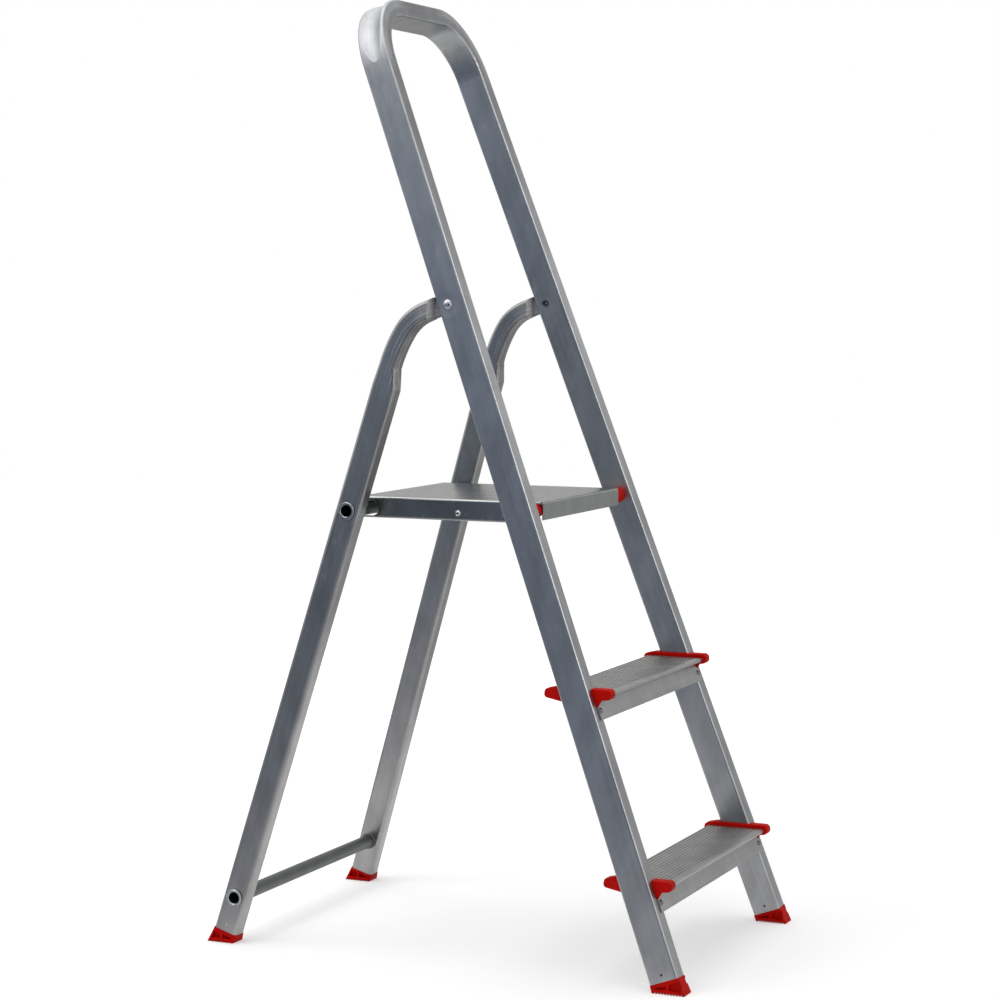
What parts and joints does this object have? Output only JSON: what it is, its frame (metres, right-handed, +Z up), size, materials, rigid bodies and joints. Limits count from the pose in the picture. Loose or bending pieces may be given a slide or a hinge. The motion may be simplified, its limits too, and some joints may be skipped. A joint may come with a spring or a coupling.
{
  "type": "folding platform step ladder",
  "caption": "Free-standing folding step ladder: bent tube front frame with a high hand hoop, ribbed treads, a standing platform and hinged rear legs with a cross tube.",
  "frame": {"origin": "on the floor under the middle of the opened ladder's footprint", "axes": "+Z up, the climbing side faces -Y, X across the treads"},
  "size_m": [0.4464, 0.699, 1.2861],
  "materials": {
    "frame_aluminium": "extruded mill finish, satin, long fine drawing lines",
    "tread_aluminium": "extruded, ribbed on top, satin",
    "platform_aluminium": "rolled sheet, satin",
    "cross_tube_aluminium": "drawn tube, satin",
    "rivet_metal": "plain, satin",
    "red_plastic": "moulded, semi-matt",
    "spacer_plastic": "moulded, matt"
  },
  "bodies": {
    "front_frame": {"front_frame": "frame_aluminium", "front_foot_left": "red_plastic", "front_foot_right": "red_plastic", "lower_tread": "tread_aluminium", "upper_tread": "tread_aluminium", "lower_tread_cap_left": "red_plastic", "lower_tread_cap_right": "red_plastic", "upper_tread_cap_left": "red_plastic", "upper_tread_cap_right": "red_plastic", "tread_rivets": "rivet_metal", "leg_pivot_rivets": "rivet_metal", "pivot_spacers": "spacer_plastic", "platform_bush_left": "red_plastic", "platform_bush_right": "red_plastic", "bush_rivets": "rivet_metal"},
    "rear_frame": {"rear_leg_left": "frame_aluminium", "rear_leg_right": "frame_aluminium", "rear_foot_left": "red_plastic", "rear_foot_right": "red_plastic", "upper_cross_tube": "cross_tube_aluminium", "lower_cross_tube": "cross_tube_aluminium"},
    "platform": {"platform": "platform_aluminium", "platform_stiffener": "platform_aluminium", "stiffener_rivets": "rivet_metal"}
  },
  "joints": [
    {"name": "rear_frame_fold", "type": "hinge", "parent": "front_frame", "child": "rear_frame", "pos_m": [0, 0.00252, 0.8745], "axis": [1, 0, 0], "range_deg": [-36, 0]},
    {"name": "platform_tilt", "type": "hinge", "parent": "rear_frame", "child": "platform", "pos_m": [0, 0.14564, 0.5988], "axis": [1, 0, 0], "range_deg": [-74.2, 0]}
  ],
  "couplings": [
    {"joint": "platform_tilt", "follows": "rear_frame_fold", "ratio": 2.0611}
  ]
}
